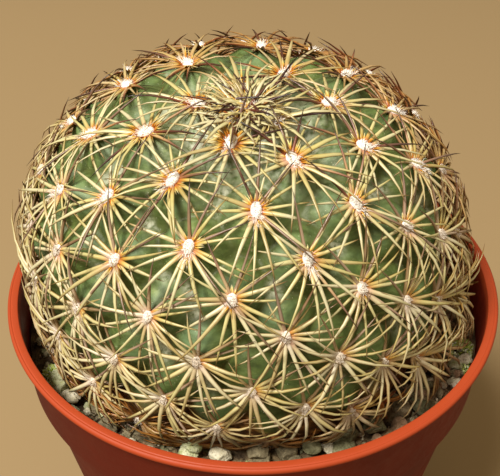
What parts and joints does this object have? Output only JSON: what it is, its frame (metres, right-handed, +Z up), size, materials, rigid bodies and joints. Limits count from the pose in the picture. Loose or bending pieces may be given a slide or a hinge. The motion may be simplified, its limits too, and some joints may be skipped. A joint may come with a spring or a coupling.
{
  "type": "potted round cactus",
  "caption": "Globular spiny cactus with woolly areoles in spirals, growing in gritty soil in a small round plastic nursery pot with a collar.",
  "frame": {"origin": "middle of the pot's flat underside, on the surface that the pot stands on", "axes": "+Z up along the pot's axis, -Y towards the picture's camera, +X to the right in the picture"},
  "size_m": [0.1, 0.1, 0.1297],
  "materials": {
    "pot": "satin moulded polypropylene, terracotta red",
    "soil": "rough, dark gritty potting mix",
    "cactus": "waxy green skin with straw-coloured spines and white wool",
    "pumice": "rough, white to pale green",
    "grit": "rough, grey-brown"
  },
  "bodies": {
    "root": {"cactus": "cactus", "grit_01": "grit", "grit_02": "grit", "grit_03": "grit", "grit_04": "grit", "grit_05": "grit", "grit_06": "grit", "grit_07": "grit", "grit_08": "grit", "grit_09": "grit", "grit_10": "grit", "grit_11": "grit", "grit_12": "grit", "grit_13": "grit", "pot": "pot", "pumice_01": "pumice", "pumice_02": "pumice", "pumice_03": "pumice", "pumice_04": "pumice", "pumice_05": "pumice", "pumice_06": "pumice", "pumice_07": "pumice", "pumice_08": "pumice", "pumice_09": "pumice", "pumice_10": "pumice", "pumice_11": "pumice", "pumice_12": "pumice", "pumice_13": "pumice", "pumice_14": "pumice", "pumice_15": "pumice", "pumice_16": "pumice", "pumice_17": "pumice", "pumice_18": "pumice", "pumice_19": "pumice", "soil": "soil"}
  },
  "joints": []
}
